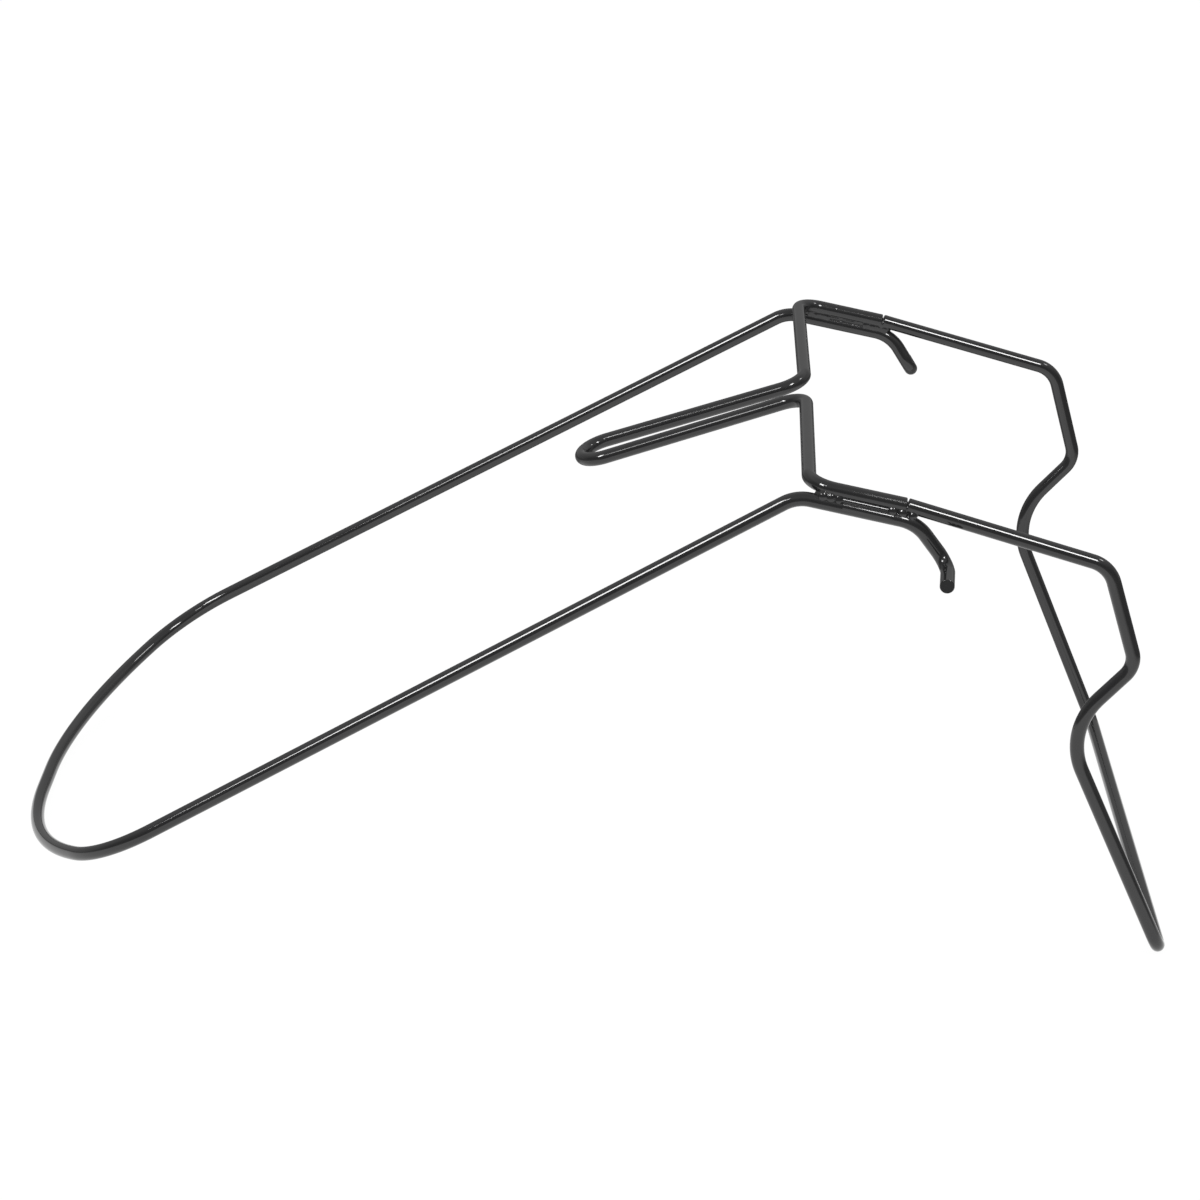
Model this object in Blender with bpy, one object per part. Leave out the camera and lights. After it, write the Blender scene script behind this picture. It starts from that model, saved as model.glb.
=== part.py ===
"""Grass bag frame of a walk-behind mower: three bent steel rods, welded side by side at two joints.

The frame is drawn in its own axes, with the welded stretches level: +X runs forward to the mouth, +Y to the left
side and +Z up, and x = 0 is the corner where the loop's leg meets the welded stretch. An empty then tips it
forward to the pose in which it stands on a floor, on the end of its loop and on its bottom bar.
"""

import math
from dataclasses import dataclass, replace

import bmesh
import bpy
from mathutils import Vector

# Rod stock and what is common to the three rods
ROD_DIAMETER = 0.0085
SEAT_GAP = 0.0003
SIDES_EXTRA = 6
ARC_STEP_DEG = 9.0
ARC_STEP_LENGTH = 0.0120

# The two welded joints: how far the lower rod stands from the middle plane there, how long it runs level, and how
# far inboard the upper rods lie on it
JOINT_HALF_WIDTH = 0.1746
JOINT_LENGTH = 0.0702
UPPER_ROD_INSET = 0.0008
LEG_BEND = 0.0220

# Loop: a leg down each side and a rounded end, which dips a little more steeply
LEG_LENGTH = 0.4668
LEG_SLOPE_DEG = 41.32
LEG_END_HALF_WIDTH = 0.1889
LOOP_CORNER_BEND = 0.0714
LOOP_END_DEPTH = 0.0742
LOOP_END_SLOPE_DEG = 41.9
LOOP_END_HALF_WIDTH = 0.0951
LOOP_END_BEND = 0.2340

# Hook at the front of each joint, with its tip bent out sideways as a pin that leans back
HOOK_BEND = 0.0240
HOOK_LENGTH = 0.0339
HOOK_SLOPE_DEG = 43.0
HOOK_TOP_OUTSET = 0.0006
HOOK_HALF_WIDTH = 0.1700
PIN_BEND = 0.0097
PIN_LENGTH = 0.0327
PIN_LEAN = 0.0025
PIN_DROP = 0.0006

# Carry handle: inward stretches that meet in two close arms with a hairpin end
HANDLE_CORNER_X = 0.0054
HANDLE_END_SETBACK = 0.0083
HANDLE_BEND = 0.0152
HANDLE_SAG = 0.0021
HANDLE_SAG_DEG = 39.0
ARM_FRONT_HALF_WIDTH = 0.0132
ARM_LENGTH = 0.1440
ARM_SLOPE_DEG = 30.3
ARM_END_HALF_WIDTH = 0.0158

# Mouth: the top stretch, the drop, the stretch that runs back, the leg and the bottom bar
END_GAP = 0.0011
TOP_LENGTH = 0.1199
TOP_SLOPE_DEG = 4.3
TOP_HALF_WIDTH = 0.1778
TOP_BEND = 0.0190
DROP_LENGTH = 0.0640
DROP_SLOPE_DEG = 61.9
DROP_HALF_WIDTH = 0.1770
DROP_BEND = 0.0153
BACK_LENGTH = 0.0575
BACK_SLOPE_DEG = 120.7
BACK_HALF_WIDTH = 0.1745
BACK_BEND = 0.0434
MOUTH_LEG_LENGTH = 0.1581
MOUTH_LEG_SLOPE_DEG = 54.55
BAR_HALF_WIDTH = 0.1729
BAR_BEND = 0.0125

# The frame is bent by hand and isn't quite true: the left joint stands forward of the right one, the left half of
# the mouth hangs further back, and the left hook is shorter and steeper, with a pin that leans and drops more
JOINT_LEAD = 0.0021
MOUTH_TWIST_DEG = 1.54
LEFT_HOOK_SHORTFALL = 0.0051
LEFT_HOOK_STEEPER_DEG = 1.9
LEFT_PIN_EXTRA_LEAN = 0.0009
LEFT_PIN_EXTRA_DROP = 0.0011

# Weld beads, which lie in the grooves between the stacked rods
REAR_BEAD_FROM_CORNER = 0.0131
REAR_BEAD_LENGTH = 0.0130
FRONT_BEAD_LENGTH = 0.0160
BEAD_BULGE = 0.0004
BEAD_DEPTH = 0.0040
BEAD_HEIGHT = 0.0072
BEAD_SEGMENTS = 24
BEAD_RINGS = 14

# Gloss black paint
PAINT_COLOUR = (0.008, 0.008, 0.009, 1.0)
PAINT_ROUGHNESS = 0.12

COLLECTION_NAME = "grass_bag_frame"
LEFT = 1
RIGHT = -1
SIDE_NAMES = {RIGHT: "right", LEFT: "left"}


@dataclass(frozen=True)
class Corner:
    """A corner of a rod's centre line, before it is rounded.

    Args:
        x, z: its place in the side view.
        half_width: its distance from the middle plane.
        bend: the centre line's bend radius there, 0 at a free end.
    """

    x: float
    z: float
    half_width: float
    bend: float = 0.0

    def run(self, length, slope_deg, half_width, bend=0.0):
        """Return the corner that lies a straight run further on, slope_deg below forward."""
        slope = math.radians(slope_deg)
        return Corner(self.x + length * math.cos(slope), self.z - length * math.sin(slope), half_width, bend)

    def at_side(self, side):
        """Return the corner as a point on the left or the right side."""
        return Vector((self.x, side * self.half_width, self.z))


def joint_shift(side):
    """Return how far forward a side's joint stands from the true place."""
    return side * JOINT_LEAD / 2


def twist_deg(side):
    """Return the extra slope of one side's mouth stretches below the first bend."""
    return side * MOUTH_TWIST_DEG / 2


def stack_height():
    """Return the height of the upper rods' centre line above the lower rod's."""
    return ROD_DIAMETER + SEAT_GAP


def upper_half_width():
    """Return how far the upper rods stand from the middle plane at the joints."""
    return JOINT_HALF_WIDTH - UPPER_ROD_INSET


def handle_end_x():
    """Return where the handle rod ends on the lower rod, before a side's shift."""
    return JOINT_LENGTH - HANDLE_END_SETBACK


def loop_corners(side):
    """Return one side's corners of the loop rod, from its pin to the rounded end."""
    hook_length, hook_slope = HOOK_LENGTH, HOOK_SLOPE_DEG
    lean, drop = PIN_LEAN, PIN_DROP
    if side == LEFT:
        hook_length -= LEFT_HOOK_SHORTFALL
        hook_slope += LEFT_HOOK_STEEPER_DEG
        lean += LEFT_PIN_EXTRA_LEAN
        drop += LEFT_PIN_EXTRA_DROP
    true_corner = Corner(0.0, 0.0, JOINT_HALF_WIDTH)
    leg_top = Corner(joint_shift(side), 0.0, JOINT_HALF_WIDTH, LEG_BEND)
    hook_top = leg_top.run(JOINT_LENGTH, 0.0, JOINT_HALF_WIDTH + HOOK_TOP_OUTSET, HOOK_BEND)
    hook_foot = hook_top.run(hook_length, hook_slope, HOOK_HALF_WIDTH, PIN_BEND)
    pin_end = Corner(hook_foot.x - lean, hook_foot.z - drop, HOOK_HALF_WIDTH + PIN_LENGTH)
    leg_foot = true_corner.run(LEG_LENGTH, 180 - LEG_SLOPE_DEG, LEG_END_HALF_WIDTH, LOOP_CORNER_BEND)
    end = leg_foot.run(LOOP_END_DEPTH, 180 - LOOP_END_SLOPE_DEG, LOOP_END_HALF_WIDTH, LOOP_END_BEND)
    return [pin_end, hook_foot, hook_top, leg_top, leg_foot, end]


def handle_corners(side):
    """Return one side's corners of the handle rod, from its end at the joint to the hairpin."""
    height = stack_height()
    start = Corner(handle_end_x() + joint_shift(side), height, upper_half_width())
    outer = Corner(HANDLE_CORNER_X + joint_shift(side), height, upper_half_width(), HANDLE_BEND)
    true_outer = Corner(HANDLE_CORNER_X, height, upper_half_width())
    inner = true_outer.run(HANDLE_SAG, HANDLE_SAG_DEG, ARM_FRONT_HALF_WIDTH, HANDLE_BEND)
    hairpin_bend = ARM_END_HALF_WIDTH - SEAT_GAP
    hairpin = inner.run(ARM_LENGTH, 180 - ARM_SLOPE_DEG, ARM_END_HALF_WIDTH, hairpin_bend)
    return [start, outer, inner, hairpin]


def mouth_corners(side):
    """Return one side's corners of the mouth rod, from its end at the joint to the bottom bar."""
    true_start = Corner(handle_end_x() + END_GAP, stack_height(), upper_half_width())
    start = replace(true_start, x=true_start.x + joint_shift(side))
    twist = twist_deg(side)
    top = true_start.run(TOP_LENGTH, TOP_SLOPE_DEG, TOP_HALF_WIDTH, TOP_BEND)
    drop = top.run(DROP_LENGTH, DROP_SLOPE_DEG + twist, DROP_HALF_WIDTH, DROP_BEND)
    back = drop.run(BACK_LENGTH, BACK_SLOPE_DEG + twist, BACK_HALF_WIDTH, BACK_BEND)
    foot = back.run(MOUTH_LEG_LENGTH, MOUTH_LEG_SLOPE_DEG + twist, BAR_HALF_WIDTH, BAR_BEND)
    return [start, top, drop, back, foot]


def both_sides(half_route):
    """Return a whole rod's corner points and bends, right side first and then back up the left."""
    right = half_route(RIGHT)
    left = half_route(LEFT)[::-1]
    points = [corner.at_side(RIGHT) for corner in right] + [corner.at_side(LEFT) for corner in left]
    return points, [corner.bend for corner in right + left]


def corner_arc(before, corner, after, bend):
    """Return the points of the arc that rounds one corner, from tangent point to tangent point."""
    to_before = (before - corner).normalized()
    to_after = (after - corner).normalized()
    half_angle = to_before.angle(to_after) / 2
    turn = math.pi - 2 * half_angle
    inward = (to_before + to_after).normalized()
    centre = corner + inward * (bend / math.sin(half_angle))
    start = corner + to_before * (bend / math.tan(half_angle))
    radial = (start - centre) / bend
    steps = max(2, math.ceil(math.degrees(turn) / ARC_STEP_DEG), math.ceil(turn * bend / ARC_STEP_LENGTH))
    angles = [turn * step / steps for step in range(steps + 1)]
    return [centre + bend * (radial * math.cos(a) - to_before * math.sin(a)) for a in angles]


def rounded(points, bends):
    """Return a centre line with an arc in place of each corner."""
    line = [points[0]]
    for before, corner, after, bend in zip(points, points[1:], points[2:], bends[1:-1]):
        line += corner_arc(before, corner, after, bend)
    return line + [points[-1]]


def lengthened(line, extra):
    """Return a centre line that runs on past both of its ends."""
    head = (line[0] - line[1]).normalized() * extra
    tail = (line[-1] - line[-2]).normalized() * extra
    return [line[0] + head] + line[1:-1] + [line[-1] + tail]


def paint():
    """Return the gloss black paint."""
    material = bpy.data.materials.new("gloss_black_paint")
    material.use_nodes = True
    shader = material.node_tree.nodes["Principled BSDF"]
    shader.inputs["Base Color"].default_value = PAINT_COLOUR
    shader.inputs["Roughness"].default_value = PAINT_ROUGHNESS
    shader.inputs["Metallic"].default_value = 0.0
    return material


def rod_object(name, line, radius, collection):
    """Make a round rod along a centre line, with flat capped ends.

    Args:
        name: the object's name.
        line: the centre line's points.
        radius: the rod's radius.
        collection: the collection that it goes into.

    Returns:
        A mesh object whose caps are joined to its wall.
    """
    curve = bpy.data.curves.new(name, "CURVE")
    curve.dimensions = "3D"
    curve.bevel_depth = radius
    curve.bevel_resolution = SIDES_EXTRA
    curve.use_fill_caps = True
    spline = curve.splines.new("POLY")
    spline.points.add(len(line) - 1)
    for point, place in zip(spline.points, line):
        point.co = (*place, 1.0)
    sketch = bpy.data.objects.new(name + "_centre_line", curve)
    collection.objects.link(sketch)
    evaluated = sketch.evaluated_get(bpy.context.evaluated_depsgraph_get())
    mesh = bpy.data.meshes.new_from_object(evaluated)
    work = bmesh.new()
    work.from_mesh(mesh)
    bmesh.ops.remove_doubles(work, verts=work.verts, dist=0.00001)
    work.to_mesh(mesh)
    work.free()
    rod = bpy.data.objects.new(name, mesh)
    rod.matrix_world = sketch.matrix_world
    collection.objects.link(rod)
    bpy.data.objects.remove(sketch)
    return rod


def hide_cutter(cutter):
    """Mark an object as a cutter, which isn't part of the frame."""
    cutter.hide_render = True
    cutter.display_type = "WIRE"


def bead_object(name, centre, length, collection):
    """Make an egg-shaped blob of weld metal along +X.

    Args:
        name: the object's name.
        centre: its middle.
        length: its length along the seam.
        collection: the collection that it goes into.
    """
    mesh = bpy.data.meshes.new(name)
    work = bmesh.new()
    bmesh.ops.create_uvsphere(work, u_segments=BEAD_SEGMENTS, v_segments=BEAD_RINGS, radius=0.5)
    bmesh.ops.scale(work, vec=(length, BEAD_DEPTH, BEAD_HEIGHT), verts=work.verts)
    work.to_mesh(mesh)
    work.free()
    bead = bpy.data.objects.new(name, mesh)
    bead.location = centre
    collection.objects.link(bead)
    return bead


def cut_back(target, cutters):
    """Cut each cutter's shape out of the target."""
    for cutter in cutters:
        cut = target.modifiers.new("clear_of_" + cutter.name, "BOOLEAN")
        cut.operation = "DIFFERENCE"
        cut.solver = "EXACT"
        cut.object = cutter


def make_beads(collection, cutters):
    """Make the four beads of each joint: front and rear, in its outer and its inner groove."""
    seam_z = stack_height() / 2
    seat = ROD_DIAMETER / 2 + BEAD_BULGE - BEAD_DEPTH / 2
    places = {
        "rear": (HANDLE_CORNER_X + REAR_BEAD_FROM_CORNER, REAR_BEAD_LENGTH),
        "front": (handle_end_x() + END_GAP / 2, FRONT_BEAD_LENGTH),
    }
    beads = []
    for side, side_name in SIDE_NAMES.items():
        for face, face_name in ((1, "outer"), (-1, "inner")):
            for place_name, (along, length) in places.items():
                y = side * (JOINT_HALF_WIDTH + face * seat)
                centre = Vector((along + joint_shift(side), y, seam_z))
                name = f"weld_bead_{side_name}_{face_name}_{place_name}"
                bead = bead_object(name, centre, length, collection)
                cut_back(bead, cutters)
                beads.append(bead)
    return beads


def stand_on_floor(empty, lines):
    """Tip the empty so that the loop's end and the bottom bar touch the floor, and centre the frame on it."""
    foot = (mouth_corners(RIGHT)[-1].at_side(0) + mouth_corners(LEFT)[-1].at_side(0)) / 2
    rise = foot - loop_corners(RIGHT)[-1].at_side(0)
    empty.rotation_euler = (0.0, math.atan2(rise.z, rise.x), 0.0)
    turned = [empty.rotation_euler.to_matrix() @ point for line in lines for point in line]
    radius = ROD_DIAMETER / 2
    middle_x = (min(p.x for p in turned) + max(p.x for p in turned)) / 2
    empty.location = (-middle_x, 0.0, radius - min(p.z for p in turned))


def main():
    """Build the whole frame."""
    for old in list(bpy.data.objects):
        bpy.data.objects.remove(old)
    parts = bpy.data.collections.new(COLLECTION_NAME)
    tools = bpy.data.collections.new("cutters")
    bpy.context.scene.collection.children.link(parts)
    bpy.context.scene.collection.children.link(tools)

    routes = {"loop_rod": loop_corners, "handle_rod": handle_corners, "mouth_rod": mouth_corners}
    lines = {name: rounded(*both_sides(half_route)) for name, half_route in routes.items()}
    rods = [rod_object(name, line, ROD_DIAMETER / 2, parts) for name, line in lines.items()]
    cutters = [
        rod_object(name + "_cutter", lengthened(line, SEAT_GAP), ROD_DIAMETER / 2 + SEAT_GAP, tools)
        for name, line in lines.items()
    ]
    beads = make_beads(parts, cutters)

    pose = bpy.data.objects.new("standing_pose", None)
    parts.objects.link(pose)
    stand_on_floor(pose, lines.values())
    for cutter in cutters:
        hide_cutter(cutter)
    material = paint()
    for piece in rods + beads:
        piece.data.materials.append(material)
        piece.data.shade_smooth()
    for piece in rods + beads + cutters:
        piece.parent = pose


main()
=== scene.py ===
"""Looks of a mower's grass bag frame: three bent rods in gloss black paint, welded at two joints.

Each rod's route is drawn in the frame's own axes, with the welded stretches level: +X runs forward to the
mouth, +Y to the left side and +Z up. The stance then tips the routes forward, to the pose in which the frame
stands on a floor, on the end of its loop and on its bottom bar. Every finished piece holds its place in its
mesh.
"""

from __future__ import annotations

import logging
import math
from dataclasses import dataclass, field, replace
from enum import Enum

import bmesh
import bpy
from mathutils import Euler, Matrix, Quaternion, Vector, noise


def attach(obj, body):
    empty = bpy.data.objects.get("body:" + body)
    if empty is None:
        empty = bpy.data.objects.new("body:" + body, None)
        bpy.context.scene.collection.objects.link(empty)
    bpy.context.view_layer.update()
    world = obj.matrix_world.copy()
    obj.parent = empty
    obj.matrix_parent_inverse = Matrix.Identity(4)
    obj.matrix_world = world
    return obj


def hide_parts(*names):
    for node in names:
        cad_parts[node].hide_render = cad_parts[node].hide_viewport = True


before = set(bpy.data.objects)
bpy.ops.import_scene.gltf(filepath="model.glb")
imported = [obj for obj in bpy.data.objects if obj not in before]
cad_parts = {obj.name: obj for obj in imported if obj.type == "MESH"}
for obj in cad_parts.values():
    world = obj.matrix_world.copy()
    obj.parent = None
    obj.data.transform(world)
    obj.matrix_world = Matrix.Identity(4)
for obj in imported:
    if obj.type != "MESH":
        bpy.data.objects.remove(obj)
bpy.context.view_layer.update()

LOG = logging.getLogger("grass_bag_frame")
ROOT_BODY = "root"
QUAD = 4


class Side(Enum):
    """The two sides of the frame, with the sign of their half of the Y axis."""

    RIGHT = -1
    LEFT = 1


class Face(Enum):
    """The two faces of a joint: away from the middle plane, and towards it."""

    OUTER = 1
    INNER = -1


@dataclass(frozen=True)
class Corner:
    """A corner of a rod's centre line, before it is rounded.

    Args:
        x: its place along the frame.
        z: its height in the frame's own axes.
        half_width: its distance from the middle plane.
        bend: the centre line's bend radius there, 0 at a free end.
    """

    x: float
    z: float
    half_width: float
    bend: float = 0.0

    def run(self, length: float, slope_deg: float, half_width: float, bend: float = 0.0) -> Corner:
        """Return the corner at the end of a straight run.

        Args:
            length: the run's length in the side view.
            slope_deg: how far it points below forward.
            half_width: the new corner's distance from the middle plane.
            bend: the new corner's bend radius.

        Returns:
            The corner that the run ends in.
        """
        slope = math.radians(slope_deg)
        x, z = self.x + length * math.cos(slope), self.z - length * math.sin(slope)
        return Corner(x, z, half_width, bend)

    def at_side(self, side: Side) -> Vector:
        """Return the corner as a point on one side."""
        return Vector((self.x, side.value * self.half_width, self.z))


@dataclass(frozen=True)
class ArcSteps:
    """How finely a centre line is drawn.

    Args:
        degrees: the widest step by angle.
        length: the widest step by length.
        lead_in: how far from a bend the next ring of a straight run lies.
        straight: the widest step on a straight run.
        fewest: the fewest steps in a bend.
        room: how many lead-ins long a straight run is that has points of its own.
    """

    degrees: float = 3.0
    length: float = 0.0035
    lead_in: float = 0.0006
    straight: float = 0.0200
    fewest: int = 2
    room: int = 3

    def count(self, turn: float, bend: float) -> int:
        """Return how many steps a bend of that turn, in radians, and that radius takes."""
        by_angle, by_length = math.degrees(turn) / self.degrees, turn * bend / self.length
        return max(self.fewest, math.ceil(by_angle), math.ceil(by_length))

    def straight_run(self, start: Vector, end: Vector) -> list[Vector]:
        """Step along a straight run, with one point close to each end.

        Args:
            start: the run's start.
            end: its end.

        Returns:
            The points between the two.
        """
        span = (end - start).length
        if span < self.room * self.lead_in:
            return []
        near_start = start.lerp(end, self.lead_in / span)
        near_end = end.lerp(start, self.lead_in / span)
        count = max(1, math.ceil(span / self.straight))
        return [near_start.lerp(near_end, k / count) for k in range(count + 1)]


@dataclass(frozen=True)
class JointSizes:
    """What the three rods share at the welded joints.

    Args:
        rod: the rods' diameter.
        seat_gap: what stays between two rods that lie on each other.
        half_width: how far the lower rod stands from the middle plane.
        length: how long the lower rod runs level.
        upper_inset: how far inboard the upper rods lie on it.
        handle_corner: where the handle turns inwards, ahead of the leg's corner.
        handle_bend: the bend radius there.
        end_setback: how far behind the hook's corner the handle rod ends.
        end_gap: the open gap between the handle rod's end and the mouth rod's.
        lead: how far the left joint stands ahead of the right one.
    """

    rod: float = 0.0085
    seat_gap: float = 0.0003
    half_width: float = 0.1746
    length: float = 0.0702
    upper_inset: float = 0.0008
    handle_corner: float = 0.0054
    handle_bend: float = 0.0152
    end_setback: float = 0.0083
    end_gap: float = 0.0011
    lead: float = 0.0021

    @property
    def stack_height(self) -> float:
        """The height of the upper rods' centre line above the lower rod's."""
        return self.rod + self.seat_gap

    @property
    def upper_half_width(self) -> float:
        """How far the upper rods stand from the middle plane."""
        return self.half_width - self.upper_inset

    @property
    def handle_end(self) -> float:
        """Where the handle rod ends, before a side's shift."""
        return self.length - self.end_setback

    def shift(self, side: Side) -> float:
        """Return how far forward a side's joint stands from the true place."""
        return side.value * self.lead / 2


def corner_arc(before: Vector, corner: Vector, after: Vector, bend: float, steps: ArcSteps) -> list[Vector]:
    """Round one corner.

    Args:
        before: the point before the corner.
        corner: the corner.
        after: the point after it.
        bend: the radius of the rounding.
        steps: how finely it is drawn.

    Returns:
        The arc's points, from tangent point to tangent point.
    """
    to_before = (before - corner).normalized()
    to_after = (after - corner).normalized()
    half_angle = to_before.angle(to_after) / 2
    turn = math.pi - 2 * half_angle
    centre = corner + (to_before + to_after).normalized() * (bend / math.sin(half_angle))
    start = corner + to_before * (bend / math.tan(half_angle))
    radial = (start - centre) / bend
    count = steps.count(turn, bend)
    angles = [turn * step / count for step in range(count + 1)]
    return [centre + bend * (radial * math.cos(a) - to_before * math.sin(a)) for a in angles]


def rounded(points: list[Vector], bends: list[float], steps: ArcSteps) -> list[Vector]:
    """Round all corners of a line.

    Args:
        points: the line's corners.
        bends: the bend radius at each.
        steps: how finely the bends are drawn.

    Returns:
        The centre line, with an arc in place of each corner.
    """
    line = [points[0]]
    for before, corner, after, bend in zip(points, points[1:], points[2:], bends[1:-1]):
        arc = corner_arc(before, corner, after, bend, steps)
        line += steps.straight_run(line[-1], arc[0]) + arc
    return line + steps.straight_run(line[-1], points[-1]) + [points[-1]]


@dataclass
class RodRoute:
    """A rod that runs down the right side of the frame and back up the left.

    Args:
        joint: the sizes at the welded joints.
        steps: how finely the bends are drawn.
        name: its CAD node's name.
    """

    joint: JointSizes = field(default_factory=JointSizes)
    steps: ArcSteps = field(default_factory=ArcSteps)
    name: str = "rod"

    def half_route(self, side: Side) -> list[Corner]:
        """Return one side's corners, from the rod's end to the middle."""
        raise NotImplementedError

    def centre_line(self) -> list[Vector]:
        """Join and round the two sides.

        Returns:
            The whole centre line, in the frame's own axes.
        """
        right = self.half_route(Side.RIGHT)
        left = self.half_route(Side.LEFT)[::-1]
        points = [c.at_side(Side.RIGHT) for c in right] + [c.at_side(Side.LEFT) for c in left]
        return rounded(points, [c.bend for c in right + left], self.steps)


@dataclass
class LoopRod(RodRoute):
    """The lower rod: hooks with bent-out pins, level stretches at the joints, legs and the rounded end."""

    name: str = "loop_rod"
    leg_bend: float = 0.0220
    leg_length: float = 0.4668
    leg_slope_deg: float = 41.32
    leg_end_half_width: float = 0.1889
    corner_bend: float = 0.0714
    end_depth: float = 0.0742
    end_slope_deg: float = 41.9
    end_half_width: float = 0.0951
    end_bend: float = 0.2340
    hook_bend: float = 0.0240
    hook_length: float = 0.0339
    hook_slope_deg: float = 43.0
    hook_top_outset: float = 0.0006
    hook_half_width: float = 0.1700
    pin_bend: float = 0.0097
    pin_length: float = 0.0327
    pin_lean: float = 0.0025
    pin_drop: float = 0.0006
    left_hook_shortfall: float = 0.0051
    left_hook_steeper_deg: float = 1.9
    left_pin_extra_lean: float = 0.0009
    left_pin_extra_drop: float = 0.0011

    def half_route(self, side: Side) -> list[Corner]:
        """Lay out one side, from the pin to the rounded end.

        Args:
            side: the side.

        Returns:
            Its corners.
        """
        length, slope = self.hook_length, self.hook_slope_deg
        lean, drop = self.pin_lean, self.pin_drop
        if side is Side.LEFT:
            length -= self.left_hook_shortfall
            slope += self.left_hook_steeper_deg
            lean += self.left_pin_extra_lean
            drop += self.left_pin_extra_drop
        half = self.joint.half_width
        true_corner = Corner(0.0, 0.0, half)
        leg_top = Corner(self.joint.shift(side), 0.0, half, self.leg_bend)
        hook_top = leg_top.run(self.joint.length, 0.0, half + self.hook_top_outset, self.hook_bend)
        hook_foot = hook_top.run(length, slope, self.hook_half_width, self.pin_bend)
        pin_half_width = self.hook_half_width + self.pin_length
        pin_end = Corner(hook_foot.x - lean, hook_foot.z - drop, pin_half_width)
        leg_foot = true_corner.run(
            self.leg_length, 180 - self.leg_slope_deg, self.leg_end_half_width, self.corner_bend
        )
        end = leg_foot.run(self.end_depth, 180 - self.end_slope_deg, self.end_half_width, self.end_bend)
        return [pin_end, hook_foot, hook_top, leg_top, leg_foot, end]


@dataclass
class HandleRod(RodRoute):
    """The carry handle: ends on the joints, inward stretches, two close arms and the hairpin."""

    name: str = "handle_rod"
    sag: float = 0.0021
    sag_deg: float = 39.0
    arm_front_half_width: float = 0.0132
    arm_length: float = 0.1440
    arm_slope_deg: float = 30.3
    arm_end_half_width: float = 0.0158

    def half_route(self, side: Side) -> list[Corner]:
        """Lay out one side, from the end at the joint to the hairpin.

        Args:
            side: the side.

        Returns:
            Its corners.
        """
        joint = self.joint
        height, half, shift = joint.stack_height, joint.upper_half_width, joint.shift(side)
        start = Corner(joint.handle_end + shift, height, half)
        outer = Corner(joint.handle_corner + shift, height, half, joint.handle_bend)
        true_outer = Corner(joint.handle_corner, height, half)
        inner = true_outer.run(self.sag, self.sag_deg, self.arm_front_half_width, joint.handle_bend)
        hairpin_bend = self.arm_end_half_width - joint.seat_gap
        slope = 180 - self.arm_slope_deg
        hairpin = inner.run(self.arm_length, slope, self.arm_end_half_width, hairpin_bend)
        return [start, outer, inner, hairpin]


@dataclass
class MouthRod(RodRoute):
    """The mouth: top stretches, drops, stretches that run back, legs and the bottom bar."""

    name: str = "mouth_rod"
    top_length: float = 0.1199
    top_slope_deg: float = 4.3
    top_half_width: float = 0.1778
    top_bend: float = 0.0190
    drop_length: float = 0.0640
    drop_slope_deg: float = 61.9
    drop_half_width: float = 0.1770
    drop_bend: float = 0.0153
    back_length: float = 0.0575
    back_slope_deg: float = 120.7
    back_half_width: float = 0.1745
    back_bend: float = 0.0434
    leg_length: float = 0.1581
    leg_slope_deg: float = 54.55
    bar_half_width: float = 0.1729
    bar_bend: float = 0.0125
    twist_deg: float = 1.54

    def half_route(self, side: Side) -> list[Corner]:
        """Lay out one side, from the end at the joint to the bottom bar.

        Args:
            side: the side.

        Returns:
            Its corners.
        """
        joint = self.joint
        twist = side.value * self.twist_deg / 2
        true_x = joint.handle_end + joint.end_gap
        true_start = Corner(true_x, joint.stack_height, joint.upper_half_width)
        start = replace(true_start, x=true_x + joint.shift(side))
        top = true_start.run(self.top_length, self.top_slope_deg, self.top_half_width, self.top_bend)
        drop_slope, back_slope = self.drop_slope_deg + twist, self.back_slope_deg + twist
        drop = top.run(self.drop_length, drop_slope, self.drop_half_width, self.drop_bend)
        back = drop.run(self.back_length, back_slope, self.back_half_width, self.back_bend)
        leg_slope = self.leg_slope_deg + twist
        foot = back.run(self.leg_length, leg_slope, self.bar_half_width, self.bar_bend)
        return [start, top, drop, back, foot]


@dataclass(frozen=True)
class Stance:
    """The tipped pose in which the frame stands on a floor.

    Args:
        loop: the loop rod, whose end rests on the floor.
        mouth: the mouth rod, whose bottom bar rests on it.
        lines: all centre lines, for the place of the box around the frame.
    """

    loop: LoopRod
    mouth: MouthRod
    lines: tuple[list[Vector], ...]

    def matrix(self) -> Matrix:
        """Work out how the frame stands.

        Returns:
            The move from the frame's own axes to the standing pose.
        """
        foot = (self.mouth.half_route(Side.RIGHT)[-1].at_side(Side.RIGHT)
                + self.mouth.half_route(Side.LEFT)[-1].at_side(Side.LEFT)) / 2
        end = self.loop.half_route(Side.RIGHT)[-1]
        tilt = Matrix.Rotation(math.atan2(foot.z - end.z, foot.x - end.x), 4, "Y")
        turned = [tilt @ point for line in self.lines for point in line]
        middle = (min(p.x for p in turned) + max(p.x for p in turned)) / 2
        lowest = min(p.z for p in turned)
        radius = self.loop.joint.rod / 2
        return Matrix.Translation((-middle, 0.0, radius - lowest)) @ tilt


def principled(material: bpy.types.Material) -> bpy.types.Node:
    """Return a new node material's Principled shader."""
    return material.node_tree.nodes["Principled BSDF"]


def fill_inputs(tree: bpy.types.NodeTree, node: bpy.types.Node, values: dict) -> None:
    """Set a node's inputs.

    Args:
        tree: the node tree.
        node: the node.
        values: for each input's name or number a value, or a socket that is linked to it.
    """
    for place, value in values.items():
        if isinstance(value, bpy.types.NodeSocket):
            tree.links.new(value, node.inputs[place])
        else:
            node.inputs[place].default_value = value


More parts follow.
